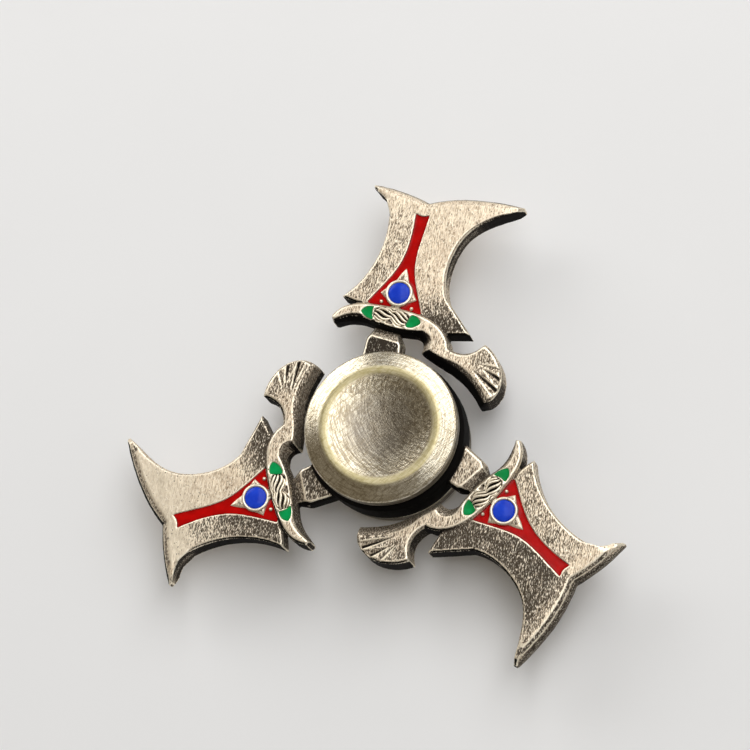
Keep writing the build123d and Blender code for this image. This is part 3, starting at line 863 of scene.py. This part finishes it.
def pooled(name, material, voxel, climb):
    """Enamel as it sets: rounded, and climbing a little where it meets the metal."""
    mesh = skin(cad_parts[name].data.copy(), voxel)
    p = relaxed(mesh, coords(mesh), 0.5, 2)
    set_coords(mesh, p)
    n = normals(mesh)
    q = to_first_arm(p, arm_of(p))
    gap = nearest(p[np.abs(n[:, 2]) < 0.5], p)
    ring_gap = np.hypot(q[:, 0] - GEM[0], q[:, 1] - GEM[1]) - BEZEL_R
    # painted shade: the enamel is darkened near the walls and the ring
    rim = np.exp(-np.clip(np.minimum(gap, ring_gap), 0, None) / RIM_REACH)
    bank = np.maximum(np.exp(-gap / BANK_REACH),
                      RING_CLIMB * np.exp(-np.clip(ring_gap, 0, None) / RING_REACH))
    p[:, 2] += (climb * bank - ENAMEL_SINK) * step(0.3, 0.7, n[:, 2])
    set_coords(mesh, p)
    keep(mesh, "rim", np.clip(rim, 0, 1))
    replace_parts(piece(mesh, f"set_{name}", "rotor", material), name)


def gem_shape():
    """Dome of enamel in the ring."""
    r = GEM_R + 0.01
    rise = [(r * math.sin(t), ARM_H + GEM_BRIM + GEM_CROWN * math.cos(t))
            for t in np.linspace(math.pi / 2, 0, 14)]
    points, faces = lathe([(0, ARM_H - SUNK), (r, ARM_H - SUNK)] + rise, GEM_SIDES)
    points[:, :2] += GEM
    return points, faces


for number, turn in enumerate(ARM_TURNS, 1):
    pooled(f"groove_enamel_{number}", RED, GROOVE_VOXEL, GROOVE_CLIMB)
    for side in "ab":
        pooled(f"leaf_enamel_{number}{side}", GREEN, LEAF_VOXEL, LEAF_CLIMB)
    points, faces = gem_shape()
    gem = piece(mesh_from(turned(points, turn), faces, "gem"), f"gem_{number}", "rotor",
                BLUE)
    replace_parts(gem, f"gem_enamel_{number}")


# ---- caps -------------------------------------------------------------------------------------
CAP_RIM = 5.9          # height of the top of the cap's wall
CAP_RIDGE_R = 8.5      # where the bevel meets the ridge
DISH_R, DISH_DEPTH = 8.0, 0.9
CAP_ROUND = 0.6        # radius of its rounded corners
CAP_MESH = 0.35        # length of its faces along the outline
CAP_SIDES = 220
CAP_UPPER = 4.2        # above this height the cap is slightly uneven
CAP_UNEVEN = (0.012, 2.4, 9)           # height, cell, seed


def rounded(profile, radius, steps):
    """The profile with each inner corner rounded."""
    out = [profile[0]]
    for a, b, c in zip(profile, profile[1:], profile[2:]):
        a, b, c = (np.array(v, float) for v in (a, b, c))
        l1, l2 = np.linalg.norm(a - b), np.linalg.norm(c - b)
        d = min(radius, l1 * 0.45, l2 * 0.45)
        p0, p2 = b + (a - b) / l1 * d, b + (c - b) / l2 * d
        for t in np.linspace(0, 1, steps):
            out.append(tuple((1 - t) ** 2 * p0 + 2 * t * (1 - t) * b + t * t * p2))
    out.append(profile[-1])
    return out


def cap_shape():
    """Finger cap: underside, wall, bevel, soft ridge and dish."""
    dish = [(DISH_R * t, CAP_TOP - DISH_DEPTH + DISH_DEPTH * t * t) for t in np.linspace(1, 0, 24)]
    outline = [(0, CAP_UNDER), (CAP_R - 0.4, CAP_UNDER), (CAP_R, CAP_UNDER + 0.4),
               (CAP_R, CAP_RIM - 0.12), (CAP_R - 0.16, CAP_RIM + 0.06), (CAP_RIDGE_R, CAP_TOP)]
    outline = rounded(outline + dish[:1], CAP_ROUND, 8)[:-1] + dish
    dense = []
    for a, b in zip(outline, outline[1:]):
        n = max(1, int(math.dist(a, b) / CAP_MESH))
        dense += [tuple(np.array(a) + (np.array(b) - np.array(a)) * k / n) for k in range(n)]
    return lathe(dense + [outline[-1]], CAP_SIDES)


for side, node in ((1, "cap_top"), (-1, "cap_bottom")):
    points, faces = cap_shape()
    height, cell, seed = CAP_UNEVEN
    uneven = height * noise(points, cell, seed) - height
    points[:, 2] += np.where(points[:, 2] > CAP_UPPER, uneven, 0.0)
    if side < 0:
        points = points * np.array([1, -1, -1])
    mesh = mesh_from(points, faces, "finger_cap")
    # painted shade: the cap's wall and its underside by the arms are painted dark
    wall_shade = step(0.55, 0.2, np.abs(normals(mesh)[:, 2]))
    under = np.abs(points[:, 2]) < CAP_UNDER + 0.3
    keep(mesh, "dark", np.maximum(wall_shade * 0.7, under * 0.6))
    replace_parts(piece(mesh, f"finger_{node}", "core", CAP), node)


# ---- bearing ----------------------------------------------------------------------------------
RACE = steel("bearing_steel", rgb(205, 207, 210), rgb(120, 122, 126), 0.18)
BALL = steel("ball_steel", rgb(226, 228, 230), rgb(170, 172, 176), 0.06, BALL_MARKS)
CAGE = steel("cage_metal", rgb(190, 170, 120), rgb(120, 100, 60), 0.30)
for name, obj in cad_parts.items():
    if name.startswith(("bearing_", "shield_", "snap_", "ball_")):
        material = BALL if name.startswith("ball_") else CAGE if "cage" in name else RACE
        obj.data.materials.clear()
        obj.data.materials.append(material)


# ---- floor, light and camera, in metres -------------------------------------------------------
FLOOR_R = 1.0
FLOOR_BEND = 0.4
FLOOR_SIDES = 96
# softboxes: direction, distance, half width and half height in degrees, brightness
SOFTBOXES = {
    "key": ((0.235, 0.4226, 0.875), 0.75, 21.0, 34.0, 1.85),
    "side": ((-0.69, 0.57, 0.45), 0.8, 20.0, 15.0, 2.1),
}
ROOM_WAY = (-0.62, -0.30, 0.72)
ROOM_COOL, ROOM_WARM = (0.36, 0.37, 0.39, 1), (0.20, 0.175, 0.135, 1)
ROOM_WARM_FROM = 0.85
LENS, SENSOR = 144.0, 36.0
CAMERA_AT = Vector((89.75, -95.82, 406.94)) * MM
CAMERA_RIGHT = Vector((0.97567, 0.09535, -0.19744))
CAMERA_UP = Vector((-0.04209, 0.96519, 0.25815))


def bowl():
    """Pale floor that turns up into a low wall far from the object."""
    a = circle(FLOOR_SIDES)
    profile = [(0.02, 0), (0.3, 0), (FLOOR_R, 0)]
    profile += [(FLOOR_R + FLOOR_BEND * math.sin(t), FLOOR_BEND * (1 - math.cos(t)))
                for t in np.linspace(0.1, math.pi / 2, 12)]
    rows = [round_row(r, z, a) for r, z in profile]
    mesh = bpy.data.meshes.new("floor")
    mesh.from_pydata(np.concatenate(rows).tolist(), [],
                     grid_faces(len(rows), len(a)) + [tuple(range(len(a)))[::-1]])
    smooth(mesh)
    mesh.materials.append(floor_paint())
    obj = bpy.data.objects.new("floor", mesh)
    obj.location = (0, 0, FLOOR_Z)
    bpy.context.scene.collection.objects.link(obj)


def axes(right, up, back):
    """A turn whose own axes point those ways."""
    return Matrix((right, up, back)).transposed().to_4x4()


def softbox(name, direction, distance, half_width, half_height, radiance):
    """Soft light that faces the object: half sizes are angles seen from it, width along X."""
    light = bpy.data.lights.new(name, "AREA")
    light.shape = "RECTANGLE"
    light.size = 2 * distance * math.tan(math.radians(half_width))
    light.size_y = 2 * distance * math.tan(math.radians(half_height))
    light.energy = 4 * radiance * light.size * light.size_y
    obj = bpy.data.objects.new(name, light)
    back = Vector(direction).normalized()
    right = (Vector((1, 0, 0)) - back * back.x).normalized()
    turn = axes(right, back.cross(right), back)
    obj.matrix_world = Matrix.Translation(back * distance) @ turn
    bpy.context.scene.collection.objects.link(obj)


def studio():
    """Dim room, a little warmer and darker on one side."""
    world = bpy.data.worlds.new("studio")
    world.use_nodes = True
    tree = world.node_tree
    place = tree.nodes.new("ShaderNodeTexCoord")
    dot = tree.nodes.new("ShaderNodeVectorMath")
    dot.operation = "DOT_PRODUCT"
    dot.inputs[1].default_value = Vector(ROOM_WAY).normalized()
    ramp = tree.nodes.new("ShaderNodeValToRGB")
    cool, warm = ramp.color_ramp.elements
    cool.position, cool.color = 0.0, ROOM_COOL
    warm.position, warm.color = ROOM_WARM_FROM, ROOM_WARM
    tree.links.new(place.outputs["Generated"], dot.inputs[0])
    tree.links.new(dot.outputs["Value"], ramp.inputs[0])
    tree.links.new(ramp.outputs[0], tree.nodes["Background"].inputs["Color"])
    bpy.context.scene.world = world


def camera():
    """Camera at the photograph's viewing angle."""
    cam = bpy.data.cameras.new("camera")
    cam.lens = LENS
    cam.sensor_width = SENSOR
    cam.clip_start = 0.01
    obj = bpy.data.objects.new("camera", cam)
    back = CAMERA_RIGHT.cross(CAMERA_UP).normalized()
    up = back.cross(CAMERA_RIGHT).normalized()
    obj.matrix_world = Matrix.Translation(CAMERA_AT) @ axes(CAMERA_RIGHT, up, back)
    bpy.context.scene.collection.objects.link(obj)
    bpy.context.scene.camera = obj


bowl()
for name, values in SOFTBOXES.items():
    softbox(name, *values)
studio()
camera()

bpy.context.scene.view_settings.view_transform = "Standard"
